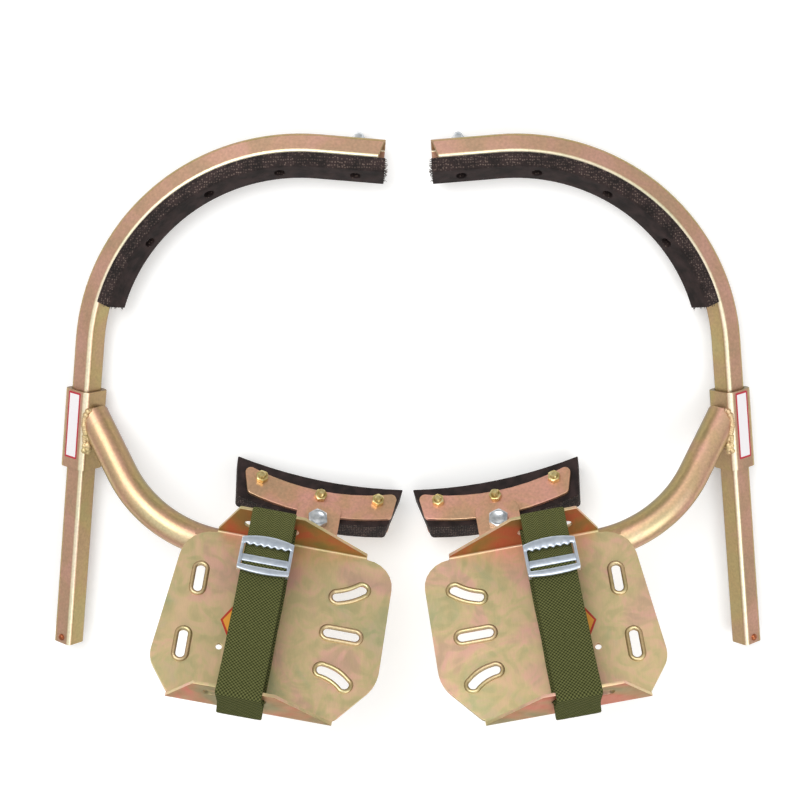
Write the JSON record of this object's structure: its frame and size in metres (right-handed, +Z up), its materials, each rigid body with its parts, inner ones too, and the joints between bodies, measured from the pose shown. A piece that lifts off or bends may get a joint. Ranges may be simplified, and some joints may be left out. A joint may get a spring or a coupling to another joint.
{
  "type": "pole climbing hooks",
  "caption": "Mirrored pair of adjustable pole-climbing hooks: square arms bent to grip a pole, rubber grip strips and pads, sloping foot plates with webbing straps.",
  "frame": {"origin": "centre of the bounding box at floor level; the pair lies flat on the floor, heads together", "axes": "+X across the pair, from the left hook to the right one; +Y from the foot plates towards the bends of the arms; +Z up"},
  "size_m": [0.6544, 0.4748, 0.2391],
  "materials": {
    "zinc_steel": "yellow passivated zinc, satin, with pink and green tints",
    "gold_fastener": "pale gold zinc, satin",
    "bright_steel": "white zinc, satin",
    "copper_rivet": "dull copper colour",
    "ply_rubber": "matt, cut from fabric-ply rubber",
    "webbing": "woven, matt",
    "white_label": "matt sticker",
    "orange_label": "satin sticker"
  },
  "bodies": {
    "frame": {"left_sleeve": "zinc_steel", "left_sleeve_label": "white_label", "left_leg_pipe": "zinc_steel", "left_foot_plate": "zinc_steel", "left_plate_label": "orange_label", "left_pad_tab": "zinc_steel", "left_pivot_bolt": "bright_steel", "left_pivot_washer": "bright_steel", "left_pivot_nut": "bright_steel", "left_strap": "webbing", "right_sleeve": "zinc_steel", "right_sleeve_label": "white_label", "right_leg_pipe": "zinc_steel", "right_foot_plate": "zinc_steel", "right_plate_label": "orange_label", "right_pad_tab": "zinc_steel", "right_pivot_bolt": "bright_steel", "right_pivot_washer": "bright_steel", "right_pivot_nut": "bright_steel", "right_strap": "webbing"},
    "left_arm": {"left_arm": "zinc_steel", "left_arm_rubber": "ply_rubber", "left_arm_screws": "bright_steel", "left_arm_tip_bolt": "bright_steel", "left_arm_tip_nut": "bright_steel", "left_stop_rivet": "copper_rivet"},
    "left_pad": {"left_pad_top_plate": "zinc_steel", "left_pad_rubber": "ply_rubber", "left_pad_bottom_plate": "zinc_steel", "left_pad_bolts": "gold_fastener", "left_pad_nuts": "gold_fastener", "left_pad_washers": "gold_fastener"},
    "left_buckle": {"left_buckle": "bright_steel"},
    "right_arm": {"right_arm": "zinc_steel", "right_arm_rubber": "ply_rubber", "right_arm_screws": "bright_steel", "right_arm_tip_bolt": "bright_steel", "right_arm_tip_nut": "bright_steel", "right_stop_rivet": "copper_rivet"},
    "right_pad": {"right_pad_top_plate": "zinc_steel", "right_pad_rubber": "ply_rubber", "right_pad_bottom_plate": "zinc_steel", "right_pad_bolts": "gold_fastener", "right_pad_nuts": "gold_fastener", "right_pad_washers": "gold_fastener"},
    "right_buckle": {"right_buckle": "bright_steel"}
  },
  "joints": [
    {"name": "left_arm_slide", "type": "slide", "parent": "frame", "child": "left_arm", "axis": [0.108, 0.9942, 0], "range_m": [-0.04, 0.15]},
    {"name": "left_pad_swivel", "type": "hinge", "parent": "frame", "child": "left_pad", "pos_m": [-0.08061, -0.10147, 0.06193], "axis": [0.1373, 0.7061, 0.6947], "range_deg": [-12, 12]},
    {"name": "left_buckle_slide", "type": "slide", "parent": "frame", "child": "left_buckle", "axis": [0.1325, 0.6819, -0.7193], "range_m": [-0.08, 0.018]},
    {"name": "right_arm_slide", "type": "slide", "parent": "frame", "child": "right_arm", "axis": [-0.108, 0.9942, 0], "range_m": [-0.04, 0.15]},
    {"name": "right_pad_swivel", "type": "hinge", "parent": "frame", "child": "right_pad", "pos_m": [0.08061, -0.10147, 0.06193], "axis": [-0.1373, 0.7061, 0.6947], "range_deg": [-12, 12]},
    {"name": "right_buckle_slide", "type": "slide", "parent": "frame", "child": "right_buckle", "axis": [-0.1325, 0.6819, -0.7193], "range_m": [-0.08, 0.018]}
  ]
}
